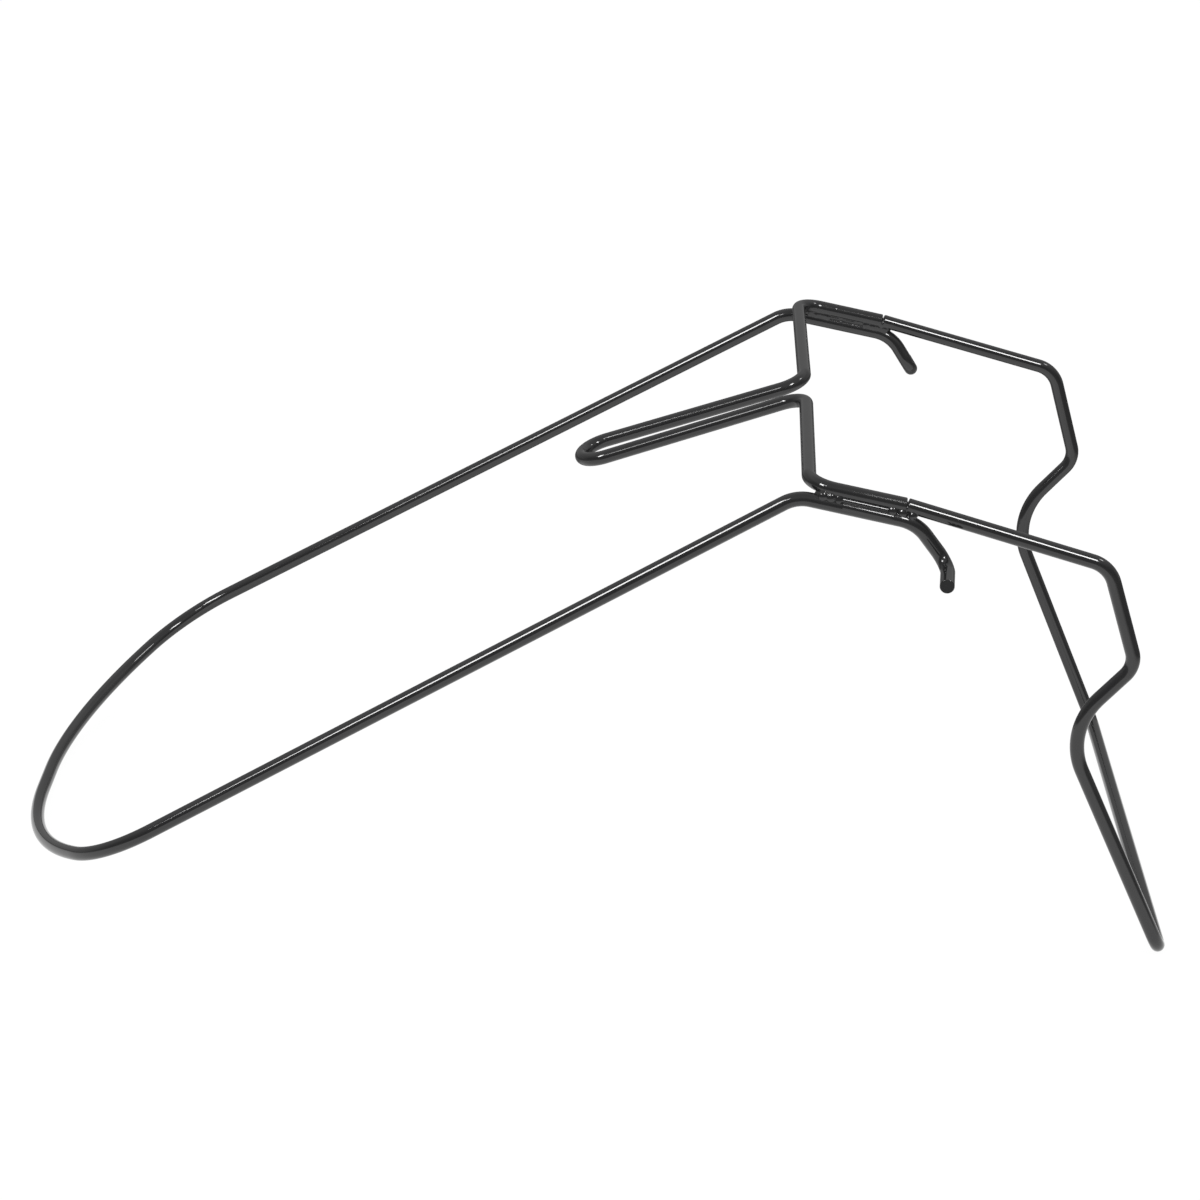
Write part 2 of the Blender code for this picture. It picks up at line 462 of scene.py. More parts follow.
def add_node(tree: bpy.types.NodeTree, kind: str, values: dict | None = None,
             **settings: str) -> bpy.types.Node:
    """Add a node.

    Args:
        tree: the node tree.
        kind: the node's type.
        values: its inputs, as for fill_inputs.
        settings: its own settings, made before its inputs.

    Returns:
        The node.
    """
    node = tree.nodes.new(kind)
    for name, setting in settings.items():
        setattr(node, name, setting)
    fill_inputs(tree, node, values or {})
    return node


def mapped(tree: bpy.types.NodeTree, value: bpy.types.NodeSocket, before: tuple[float, float],
           after: tuple[float, float] = (0.0, 1.0), smooth: bool = False) -> bpy.types.NodeSocket:
    """Map a value's range to another one.

    Args:
        tree: the node tree.
        value: the value.
        before: the ends of its range.
        after: what they become.
        smooth: whether the change eases in and out.

    Returns:
        The mapped value.
    """
    ends = dict(zip(("From Min", "From Max", "To Min", "To Max"), before + after))
    kind = "SMOOTHSTEP" if smooth else "LINEAR"
    node = add_node(tree, "ShaderNodeMapRange", {"Value": value, **ends}, interpolation_type=kind)
    return node.outputs["Result"]


def show_to_camera(tree: bpy.types.NodeTree, seen: bpy.types.NodeSocket, others: bpy.types.NodeSocket,
                   output: str) -> None:
    """Give one shader to the camera's rays and another to all others.

    Args:
        tree: the node tree.
        seen: what the camera's rays meet.
        others: what the others meet.
        output: the kind of output node.
    """
    rays = add_node(tree, "ShaderNodeLightPath").outputs["Is Camera Ray"]
    either = add_node(tree, "ShaderNodeMixShader", {"Fac": rays, 1: others, 2: seen})
    add_node(tree, output, {"Surface": either.outputs["Shader"]})


def geometry_tree(name: str, inputs: dict[str, str], output: str) -> bpy.types.NodeTree:
    """Make an empty Geometry Nodes tree.

    Args:
        name: its name.
        inputs: the kind of each input, by name.
        output: the name of its output, a geometry.

    Returns:
        The tree.
    """
    tree = bpy.data.node_groups.new(name, "GeometryNodeTree")
    for label, kind in inputs.items():
        tree.interface.new_socket(label, in_out="INPUT", socket_type="NodeSocket" + kind)
    tree.interface.new_socket(output, in_out="OUTPUT", socket_type="NodeSocketGeometry")
    return tree


def give_out(tree: bpy.types.NodeTree, shape: bpy.types.NodeSocket, paint: bpy.types.NodeSocket,
             output: str) -> None:
    """End a Geometry Nodes tree with its painted shape.

    Args:
        tree: the tree.
        shape: the shape.
        paint: its material.
        output: the name of the tree's output.
    """
    real = add_node(tree, "GeometryNodeRealizeInstances", {"Geometry": shape})
    coat = add_node(tree, "GeometryNodeSetMaterial", {
        "Geometry": real.outputs["Geometry"], "Material": paint})
    add_node(tree, "NodeGroupOutput", {output: coat.outputs["Geometry"]})


def scene_object(name: str, data: bpy.types.ID) -> bpy.types.Object:
    """Make an object in the scene.

    Args:
        name: its name.
        data: its mesh, lamp or camera.

    Returns:
        The object.
    """
    made = bpy.data.objects.new(name, data)
    bpy.context.scene.collection.objects.link(made)
    return made


def taken_mesh(carrier: bpy.types.Object) -> bpy.types.Mesh:
    """Take an object's finished mesh and delete the object.

    Args:
        carrier: an object with modifiers.

    Returns:
        The mesh, with the modifiers applied.
    """
    evaluated = carrier.evaluated_get(bpy.context.evaluated_depsgraph_get())
    mesh = bpy.data.meshes.new_from_object(evaluated)
    bpy.data.objects.remove(carrier)
    return mesh


def joined_mesh(name: str, parts: list[bpy.types.Mesh]) -> bpy.types.Mesh:
    """Put meshes together.

    Args:
        name: the new mesh's name.
        parts: the meshes.

    Returns:
        One mesh with all their faces.
    """
    work = bmesh.new()
    for part in parts:
        work.from_mesh(part)
    whole = bpy.data.meshes.new(name)
    work.to_mesh(whole)
    work.free()
    return whole


@dataclass(frozen=True)
class GlossPaint:
    """Dipped gloss black paint on steel, a little uneven where it ran and cured.

    Args:
        name: the material's name.
        deep: the darker of its two blacks.
        faded: the lighter one.
        roughness: how dull its gloss is at best.
        dullest: how dull it is where the coat is thin.
        ior: its refractive index, which sets how bright it mirrors.
        peel_size: the size of the fine ripples that paint dries in.
        peel_depth: their depth.
        wave_size: the size of the slow waves in the coat.
        wave_depth: their depth.
        patch_size: the size of the patches in which black and gloss vary.
        patch_range: the part of the patches' noise over which the gloss varies.
    """

    name: str = "gloss_black_paint"
    deep: tuple[float, float, float] = (0.0135, 0.0135, 0.0140)
    faded: tuple[float, float, float] = (0.0215, 0.0215, 0.0220)
    roughness: float = 0.045
    dullest: float = 0.11
    ior: float = 1.58
    peel_size: float = 0.0030
    peel_depth: float = 0.0000015
    wave_size: float = 0.0150
    wave_depth: float = 0.000010
    patch_size: float = 0.030
    patch_range: tuple[float, float] = (0.35, 0.75)

    def material(self) -> bpy.types.Material:
        """Make the paint.

        Returns:
            Its node material.
        """
        made = bpy.data.materials.new(self.name)
        made.use_nodes = True
        tree = made.node_tree
        place = add_node(tree, "ShaderNodeTexCoord").outputs["Object"]
        patches = self._noise(tree, place, self.patch_size, detail=3.0)
        black = add_node(tree, "ShaderNodeMix", {
            "Factor": patches, "A": (*self.deep, 1.0), "B": (*self.faded, 1.0)}, data_type="RGBA")
        gloss = mapped(tree, patches, self.patch_range, (self.roughness, self.dullest))
        waves = self._bump(tree, self._noise(tree, place, self.wave_size, detail=1.0), self.wave_depth)
        peel = self._bump(tree, self._noise(tree, place, self.peel_size, detail=2.0), self.peel_depth)
        fill_inputs(tree, peel, {"Normal": waves.outputs["Normal"]})
        fill_inputs(tree, principled(made), {
            "Base Color": black.outputs["Result"], "Roughness": gloss, "Normal": peel.outputs["Normal"],
            "IOR": self.ior, "Metallic": 0.0})
        return made

    @staticmethod
    def _noise(tree: bpy.types.NodeTree, place: bpy.types.NodeSocket, size: float,
               detail: float) -> bpy.types.NodeSocket:
        """Return the value of a noise with lumps of that size in metres and that many finer layers."""
        values = {"Vector": place, "Scale": 1.0 / size, "Detail": detail}
        return add_node(tree, "ShaderNodeTexNoise", values).outputs["Fac"]

    @staticmethod
    def _bump(tree: bpy.types.NodeTree, height: bpy.types.NodeSocket, depth: float) -> bpy.types.Node:
        """Return a Bump node for that height and depth in metres."""
        return add_node(tree, "ShaderNodeBump", {"Strength": 1.0, "Distance": depth, "Height": height})


@dataclass
class RodSweep:
    """A Geometry Nodes tree that sweeps a round rod along a line of edges.

    Args:
        sides: how many sides the round section has.
        rim: the width of the rounding round a cut end.
        rim_steps: how many steps the rounding has.
        tree: the tree, once it is made.
    """

    sides: int = 72
    rim: float = 0.0004
    rim_steps: int = 3
    tree: bpy.types.NodeTree | None = None

    def node_tree(self) -> bpy.types.NodeTree:
        """Make the tree on the first call, and keep it.

        Returns:
            The tree.
        """
        if self.tree:
            return self.tree
        inputs = {"Centre Line": "Geometry", "Diameter": "Float", "Sides": "Int", "Paint": "Material"}
        tree = geometry_tree("rod_sweep", inputs, "Rod")
        given = add_node(tree, "NodeGroupInput").outputs
        radius = add_node(tree, "ShaderNodeMath", {0: given["Diameter"], 1: 0.5}, operation="MULTIPLY")
        section = add_node(tree, "GeometryNodeCurvePrimitiveCircle", {
            "Radius": radius.outputs["Value"], "Resolution": given["Sides"]})
        curve = add_node(tree, "GeometryNodeMeshToCurve", {"Mesh": given["Centre Line"]})
        sweep = add_node(tree, "GeometryNodeCurveToMesh", {
            "Curve": curve.outputs["Curve"], "Profile Curve": section.outputs["Curve"], "Fill Caps": True})
        smooth = add_node(tree, "GeometryNodeSetShadeSmooth", {"Geometry": sweep.outputs["Mesh"]})
        give_out(tree, smooth.outputs["Geometry"], given["Paint"], "Rod")
        self.tree = tree
        return tree

    def mesh(self, name: str, line: list[Vector], diameter: float,
             paint: bpy.types.Material) -> bpy.types.Mesh:
        """Sweep a rod.

        Args:
            name: the mesh's name.
            line: the centre line.
            diameter: the rod's diameter.
            paint: its material.

        Returns:
            A closed mesh with flat ends.
        """
        values = {"Diameter": diameter, "Sides": self.sides, "Paint": paint}
        return evaluated_tree(name, edge_mesh(name, line), self.node_tree(), values)

    def finish_ends(self, mesh: bpy.types.Mesh, paint: bpy.types.Material) -> None:
        """Round the sharp rims of a swept rod's two cut ends, and give the ends their own paint.

        Args:
            mesh: the rod.
            paint: the finish of its ends.
        """
        mesh.materials.append(paint)
        work = bmesh.new()
        work.from_mesh(mesh)
        caps = [face for face in work.faces if len(face.verts) > QUAD]
        rims = [edge for cap in caps for edge in cap.edges]
        bmesh.ops.bevel(work, geom=rims, offset=self.rim, segments=self.rim_steps, profile=0.5,
                        affect="EDGES")
        for face in work.faces:
            face.smooth = len(face.verts) <= QUAD
            face.material_index = 0 if face.smooth else 1
        work.to_mesh(mesh)
        work.free()


@dataclass
class BeadRipple:
    """A Geometry Nodes tree that lays overlapping blobs of weld metal along a seam.

    Args:
        rings: how finely each blob is drawn.
        tree: the tree, once it is made.
    """

    rings: int = 12
    tree: bpy.types.NodeTree | None = None

    def node_tree(self) -> bpy.types.NodeTree:
        """Make the tree on the first call, and keep it.

        Returns:
            The tree.
        """
        if self.tree:
            return self.tree
        inputs = {"Seam": "Geometry", "Pitch": "Float", "Blob Size": "Vector", "Spread": "Float",
                  "Seed": "Int", "Paint": "Material"}
        tree = geometry_tree("bead_ripple", inputs, "Bead")
        given = add_node(tree, "NodeGroupInput").outputs
        curve = add_node(tree, "GeometryNodeMeshToCurve", {"Mesh": given["Seam"]})
        spaced = add_node(tree, "GeometryNodeResampleCurve", {
            "Curve": curve.outputs["Curve"], "Length": given["Pitch"]}, mode="LENGTH")
        blob = add_node(tree, "GeometryNodeMeshUVSphere", {
            "Segments": 2 * self.rings, "Rings": self.rings, "Radius": 0.5})
        lowest = add_node(tree, "ShaderNodeMath", {0: 1.0, 1: given["Spread"]}, operation="SUBTRACT")
        vary = add_node(tree, "FunctionNodeRandomValue", {
            2: lowest.outputs["Value"], 3: 1.0, "Seed": given["Seed"]}, data_type="FLOAT")
        sized = add_node(tree, "ShaderNodeVectorMath", {
            0: given["Blob Size"], "Scale": vary.outputs[1]}, operation="SCALE")
        placed = add_node(tree, "GeometryNodeInstanceOnPoints", {
            "Points": spaced.outputs["Curve"], "Instance": blob.outputs["Mesh"],
            "Scale": sized.outputs["Vector"]})
        give_out(tree, placed.outputs["Instances"], given["Paint"], "Bead")
        self.tree = tree
        return tree

    def mesh(self, name: str, seam: list[Vector], pitch: float, blob: Vector, spread: float, seed: int,
             paint: bpy.types.Material) -> bpy.types.Mesh:
        """Lay one bead.

        Args:
            name: the mesh's name.
            seam: the line that the blobs' centres follow.
            pitch: the distance between blobs.
            blob: a blob's size along X, Y and Z.
            spread: by how large a share the blobs' sizes vary.
            seed: the seed of that variation.
            paint: the material.

        Returns:
            A mesh of overlapping blobs.
        """
        values = {"Pitch": pitch, "Blob Size": blob, "Spread": spread, "Seed": seed, "Paint": paint}
        return evaluated_tree(name, edge_mesh(name, seam), self.node_tree(), values)


def edge_mesh(name: str, line: list[Vector]) -> bpy.types.Mesh:
    """Draw a line as a mesh without faces.

    Args:
        name: the line's name.
        line: its points.

    Returns:
        A mesh whose edges join the points in turn.
    """
    mesh = bpy.data.meshes.new(name + "_line")
    mesh.from_pydata([tuple(p) for p in line], [(i, i + 1) for i in range(len(line) - 1)], [])
    return mesh


def evaluated_tree(name: str, source: bpy.types.Mesh, tree: bpy.types.NodeTree,
                   values: dict) -> bpy.types.Mesh:
    """Run a Geometry Nodes tree on a mesh.

    Args:
        name: the result's name.
        source: the mesh that the tree starts from.
        tree: the tree.
        values: its inputs by name.

    Returns:
        The result as a plain mesh.
    """
    carrier = scene_object(name + "_carrier", source)
    step = carrier.modifiers.new(tree.name, "NODES")
    step.node_group = tree
    for item in tree.interface.items_tree:
        if item.in_out == "INPUT" and item.name in values:
            step[item.identifier] = values[item.name]
    mesh = taken_mesh(carrier)
    mesh.name = name
    return mesh


def show_piece(name: str, mesh: bpy.types.Mesh, *nodes: str) -> None:
    """Put a finished mesh in the scene, on the root body and in place of its CAD nodes.

    Args:
        name: the piece's name.
        mesh: its mesh, in the row's frame.
        nodes: the CAD nodes that it stands for.
    """
    piece = scene_object(name, mesh)
    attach(piece, ROOT_BODY)
    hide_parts(*nodes)
    LOG.info("%s: %d faces, stands for %s", name, len(mesh.polygons), ", ".join(nodes))


@dataclass
class SweptRod:
    """One rod of the frame, drawn and dressed.

    Args:
        route: its centre line.
        sweep: the tool that draws it.
    """

    route: RodRoute
    sweep: RodSweep

    def build(self, pose: Matrix, paint: bpy.types.Material, end_paint: bpy.types.Material) -> None:
        """Draw the rod in the standing pose.

        Args:
            pose: the move from the frame's own axes.
            paint: its finish.
            end_paint: the finish of its cut ends.
        """
        line = [pose @ point for point in self.route.centre_line()]
        name = self.route.name + "_coated"
        mesh = self.sweep.mesh(name, line, self.route.joint.rod, paint)
        self.sweep.finish_ends(mesh, end_paint)
        show_piece(name, mesh, self.route.name)


@dataclass(frozen=True)
class BeadPlan:
    """One bead along a joint's seam, in the joint's own lengths.

    Args:
        face: the face of the joint that it lies on.
        start: where it starts, ahead of the leg's corner.
        end: where it ends.
        reach: how far its face stands out from the rods' centre plane.
        height: how tall its blobs are.
        length: how long each blob is.
        depth: how thick each blob is.
        pitch: the distance between blobs.
    """

    face: Face
    start: float
    end: float
    reach: float = 0.0045
    height: float = 0.0074
    length: float = 0.0046
    depth: float = 0.0052
    pitch: float = 0.0019


@dataclass(frozen=True)
class SmoothRun:
    """A smooth run of paint and weld metal along the open part of a joint's groove.

    Args:
        face: the face of the joint that it lies on.
        start: where it starts, ahead of the leg's corner.
        end: where it ends.
        radius: the radius of its round.
        height: how high its centre lies at the start, over the seam.
        out: how far its centre lies outboard of the rods' centre plane at the start.
        fall: by how much its centre is lower at the end.
        sink: by how much its centre is nearer to that plane at the end.
    """

    face: Face
    start: float
    end: float
    radius: float
    height: float
    out: float
    fall: float
    sink: float


@dataclass
class WeldedJoint:
    """The weld metal of one joint: beads front and rear, on both faces, over a thin run in the seam.

    Args:
        side: the side of the frame.
        joint: the joint's sizes.
        loop: the lower rod.
        uppers: the rods that lie on it.
        plans: its beads.
        runs: the smooth runs between them.
        root_reach: how far the run in the seam stands out on each face.
        sweep: the tool that draws the rods and the smooth runs.
        ripple: the tool that draws the beads.
        root_height: how tall the run in the seam is.
        root_length: how long its blobs are.
        root_inset: how far inside the melt's rear and front it ends.
        pitch: the distance between the blobs of the run in the seam.
        spread: how much the ripples vary.
        thinner: how much thinner the rods are inside the melted metal.
        inward: how far inboard of the lower rod a rod still belongs to the joint, in rods.
        cell: the size of the cells in which the metal is melted together.
        passes: how often the melt is smoothed.
        flow: how much each time.
        lumps: the size of the melt's lumps.
        lump_depth: how far they stand out.
        fine_lumps: how many times finer the small lumps on them are.
        fine_share: how far those stand out, as a share of the large ones.
        run_steps: how many steps a smooth run has.
        rear: where the melt starts, ahead of the leg's corner.
        front: where it ends.
        plug: the size of the metal in the gap between the upper rods' ends.
        plug_height: how high that metal's middle lies over the lower rod's centre line.
    """

    side: Side
    joint: JointSizes
    loop: RodRoute
    uppers: tuple[RodRoute, ...]
    plans: tuple[BeadPlan, ...]
    runs: tuple[SmoothRun, ...]
    root_reach: dict[Face, float]
    sweep: RodSweep
    ripple: BeadRipple
    root_height: float = 0.0034
    root_length: float = 0.006
    root_inset: tuple[float, float] = (0.006, 0.012)
    pitch: float = 0.0019
    spread: float = 0.10
    thinner: float = 0.00030
    inward: float = 2.0
    cell: float = 0.00030
    passes: int = 14
    flow: float = 0.5
    lumps: float = 0.0036
    lump_depth: float = 0.00024
    fine_lumps: float = 2.1
    fine_share: float = 0.25
    run_steps: int = 4
    rear: float = 0.0065
    front: float = 0.0760
    plug: tuple[float, float, float] = (0.0050, 0.0080, 0.0062)
    plug_height: float = 0.0075

    @property
    def name(self) -> str:
        """The name of the joint's weld."""
        return f"weld_{self.side.name.lower()}"

    def replaced_nodes(self) -> list[str]:
        """Name the CAD beads that the weld stands for.

        Returns:
            Their node names.
        """
        side = self.side.name.lower()
        faces = [face.name.lower() for face in Face]
        return [f"weld_bead_{side}_{face}_{place}" for face in faces for place in ("front", "rear")]

    def stretch(self, line: list[Vector]) -> list[Vector]:
        """Find where a rod passes this joint.

        Args:
            line: the rod's centre line, in the frame's own axes.

        Returns:
            Its points inside the melt, closely spaced.
        """
        shift = self.joint.shift(self.side)
        least = self.joint.half_width - self.inward * self.joint.rod
        near = [p for p in line if p.y * self.side.value > least]
        dense: list[Vector] = []
        for a, b in zip(near, near[1:]):
            count = max(1, round((b - a).length / self.pitch))
            dense += [a.lerp(b, k / count) for k in range(count)]
        dense.append(near[-1])
        return [p for p in dense if self.rear + shift <= p.x <= self.front + shift]

    def seam(self, start: float, end: float, offset: float) -> list[Vector]:
        """Return a line between the lower rod and the upper ones.

        Args:
            start: where it starts, ahead of the leg's corner.
            end: where it ends.
            offset: how far outboard of the rods' centres it runs.

        Returns:
            The seam's points, in the frame's own axes.
        """
        shift = self.joint.shift(self.side)
        lower = sorted(self.stretch(self.loop.centre_line()), key=lambda p: p.x)
        count = max(2, round((end - start) / self.pitch))
        points = []
        for k in range(count + 1):
            x = start + (end - start) * k / count + shift
            under = min(lower, key=lambda p: abs(p.x - x))
            centre = (abs(under.y) + self.joint.upper_half_width) / 2
            height = (under.z + self.joint.stack_height) / 2
            points.append(Vector((x, self.side.value * (centre + offset), height)))
        return points

    def parts(self, paint: bpy.types.Material) -> list[bpy.types.Mesh]:
        """Draw what is melted together.

        Args:
            paint: its finish.

        Returns:
            Short rods, the run in the seam, the beads and the metal between the upper rods' ends.
        """
        thin = self.joint.rod - self.thinner
        made = []
        for rod in (self.loop, *self.uppers):
            line = self.stretch(rod.centre_line())
            if len(line) > 1:
                made.append(self.sweep.mesh(f"{self.name}_{rod.name}", line, thin, paint))
        inner, outer = self.root_reach[Face.INNER], self.root_reach[Face.OUTER]
        rear_inset, front_inset = self.root_inset
        run = self.seam(self.rear + rear_inset, self.front - front_inset, (outer - inner) / 2)
        blob = Vector((self.root_length, inner + outer, self.root_height))
        made.append(self.ripple.mesh(self.name + "_root", run, self.pitch, blob, 0.0, 0, paint))
        for index, plan in enumerate(self.plans):
            offset = plan.face.value * (plan.reach - plan.depth / 2)
            seam = self.seam(plan.start + plan.length / 2, plan.end - plan.length / 2, offset)
            blob = Vector((plan.length, plan.depth, plan.height))
            made.append(self.ripple.mesh(f"{self.name}_{index}", seam, plan.pitch, blob, self.spread, index,
                                         paint))
        middle = self.joint.handle_end + self.joint.end_gap / 2 + self.joint.shift(self.side)
        place = Vector((middle, self.side.value * self.joint.upper_half_width, self.plug_height))
        across = Vector((0.0, self.cell, 0.0))
        made.append(self.ripple.mesh(self.name + "_plug", [place - across, place + across], self.pitch,
                                     Vector(self.plug), 0.0, 0, paint))
        return made

    def run_mesh(self, run: SmoothRun, paint: bpy.types.Material) -> bpy.types.Mesh:
        """Draw one smooth run.

        Args:
            run: the run.
            paint: its finish.

        Returns:
            Its mesh, in the frame's own axes.
        """
        shift = self.joint.shift(self.side)
        points = []
        for step in range(self.run_steps + 1):
            share = step / self.run_steps
            x = run.start + (run.end - run.start) * share + shift
            out = self.joint.half_width + run.face.value * (run.out - run.sink * share)
            z = self.joint.stack_height / 2 + run.height - run.fall * share
            points.append(Vector((x, self.side.value * out, z)))
        return self.sweep.mesh(self.name + "_run", points, 2 * run.radius, paint)

    def build(self, pose: Matrix, paint: bpy.types.Material) -> None:
        """Melt the joint's metal together and put it in the standing pose.

        Args:
            pose: the move from the frame's own axes.
            paint: its finish.
        """
        carrier = scene_object(self.name + "_carrier", joined_mesh(self.name + "_parts", self.parts(paint)))
        melt = carrier.modifiers.new("melt", "REMESH")
        melt.mode = "VOXEL"
        melt.voxel_size = self.cell
        flow = carrier.modifiers.new("flow", "SMOOTH")
        flow.factor = self.flow
        flow.iterations = self.passes
        melted = taken_mesh(carrier)
        self.roughen(melted)
        mesh = joined_mesh(self.name, [melted, *(self.run_mesh(run, paint) for run in self.runs)])
        mesh.transform(pose)
        mesh.materials.clear()
        mesh.materials.append(paint)
        mesh.shade_smooth()
        show_piece(self.name, mesh, *self.replaced_nodes())

    def roughen(self, mesh: bpy.types.Mesh) -> None:
        """Raise the lumps of hand-laid weld metal.

        Args:
            mesh: the melted metal.
        """
        normals = [vertex.normal.copy() for vertex in mesh.vertices]
        for vertex, normal in zip(mesh.vertices, normals):
            place = vertex.co / self.lumps
            height = noise.noise(place) + self.fine_share * noise.noise(place * self.fine_lumps)
            vertex.co += normal * (self.lump_depth * height)


@dataclass(frozen=True)
class SoftBox:
    """A square-cornered studio lamp that faces the frame.

    Args:
        name: its name.
        azimuth_deg: where it stands, counted from +X towards +Y.
        elevation_deg: how high it stands over the floor.
        distance: how far away it stands.
        width: its width.
        height: its height.
        radiance: how bright its face is, where white is 1.
        roll_deg: how far it is turned on its stand; negative leans its top to greater azimuths.
    """

    name: str
    azimuth_deg: float
    elevation_deg: float
    distance: float
    width: float
    height: float
    radiance: float
    roll_deg: float = 0.0

    def build(self, target: Vector) -> None:
        """Make the lamp.

        Args:
            target: the point that it faces.
        """
        lamp = bpy.data.lights.new(self.name, "AREA")
        lamp.shape = "RECTANGLE"
        lamp.size = self.width
        lamp.size_y = self.height
        lamp.energy = self.radiance * math.pi * self.width * self.height
        azimuth, elevation = math.radians(self.azimuth_deg), math.radians(self.elevation_deg)
        away = Vector((math.cos(azimuth) * math.cos(elevation), math.sin(azimuth) * math.cos(elevation),
                       math.sin(elevation)))
        stand = scene_object(self.name, lamp)
        stand.location = target + away * self.distance
        roll = Quaternion((0.0, 0.0, 1.0), math.radians(self.roll_deg))
        stand.rotation_euler = (away.to_track_quat("Z", "Y") @ roll).to_euler()
        stand.visible_camera = False
        LOG.info("lamp %s: %.1f W", self.name, lamp.energy)


@dataclass(frozen=True)
class CameraStand:
    """The camera at the photograph's place and angle.

    Args:
        location: its place.
        rotation_deg: its turns about X, Y and Z.
        lens: its focal length in millimetres.
        sensor: its sensor's width in millimetres.
        clip: the nearest and the farthest that it sees, in metres.
    """

    location: tuple[float, float, float] = (0.02736, -2.09538, 0.99400)
    rotation_deg: tuple[float, float, float] = (67.9453, -2.1426, 1.5276)
    lens: float = 108.0
    sensor: float = 36.0
    clip: tuple[float, float] = (0.05, 60.0)

    def build(self) -> None:
        """Make the camera and give it to the scene."""
        optics = bpy.data.cameras.new("camera")
        optics.lens = self.lens
        optics.sensor_width = self.sensor
        optics.clip_start, optics.clip_end = self.clip
        camera = scene_object("camera", optics)
        camera.location = self.location
        camera.rotation_euler = Euler([math.radians(turn) for turn in self.rotation_deg])
        bpy.context.scene.camera = camera


@dataclass(frozen=True)
class PaleFloor:
    """A white studio floor, which keeps a faint shadow. To all rays but the camera's it glows as a painted
    pool of light: bright round the frame, dim far out and on the far side.

    Args:
        size: the floor's width.
        white: its colour.
        glow: how much of what the camera sees of it is even white.
        evenness: the level of that white.
        lit_centre: the middle of its bright part.
        lit_radius: how far that part reaches.
        dim_radius: from where it is dim.
        near: how bright its middle is to the paint, where white is 1.
        far: how bright it is far out.
        behind_start: from where it dims towards the far side.
        behind_end: where that ends.
        behind: how bright it stays there.
    """

    size: float = 30.0
    white: float = 0.92
    glow: float = 0.92
    evenness: float = 1.04
    lit_centre: tuple[float, float, float] = (0.05, -0.30, 0.0)
    lit_radius: float = 0.34
    dim_radius: float = 1.25
    near: float = 1.06
    far: float = 0.16
    behind_start: float = 0.09
    behind_end: float = 0.29
    behind: float = 0.30

    def material(self) -> bpy.types.Material:
        """Make the floor's finish.

        Returns:
            Its material.
        """
        made = bpy.data.materials.new("pale_floor")
        made.use_nodes = True
        tree = made.node_tree
        tree.nodes.clear()
        place = add_node(tree, "ShaderNodeTexCoord").outputs["Object"]
        # Painted light: to all rays but the camera's the floor is an emission, brightest round lit_centre,
        # fading far out and dimmer towards the far side.
        distance = add_node(tree, "ShaderNodeVectorMath", {0: place, 1: self.lit_centre},
                            operation="DISTANCE")
        fall = mapped(tree, distance.outputs["Value"], (self.lit_radius, self.dim_radius),
                      (self.near, self.far), smooth=True)
        parts = add_node(tree, "ShaderNodeSeparateXYZ", {"Vector": place})
        shade = mapped(tree, parts.outputs["Y"], (self.behind_start, self.behind_end),
                       (1.0, self.behind), smooth=True)
        level = add_node(tree, "ShaderNodeMath", {0: fall, 1: shade}, operation="MINIMUM")
        painted_light_glow = add_node(tree, "ShaderNodeEmission", {"Strength": level.outputs["Value"]})
        cloth = add_node(tree, "ShaderNodeBsdfDiffuse", {"Color": (self.white, self.white, self.white, 1.0)})
        even = add_node(tree, "ShaderNodeEmission", {"Strength": self.evenness})
        seen = add_node(tree, "ShaderNodeMixShader", {
            "Fac": self.glow, 1: cloth.outputs["BSDF"], 2: even.outputs["Emission"]})
        show_to_camera(tree, seen.outputs["Shader"], painted_light_glow.outputs["Emission"], "ShaderNodeOutputMaterial")
        return made

    def build(self) -> None:
        """Make the floor at height 0."""
        mesh = bpy.data.meshes.new("floor")
        work = bmesh.new()
        bmesh.ops.create_grid(work, x_segments=1, y_segments=1, size=self.size / 2)
        work.to_mesh(mesh)
        work.free()
        mesh.materials.append(self.material())
        floor = scene_object("floor", mesh)


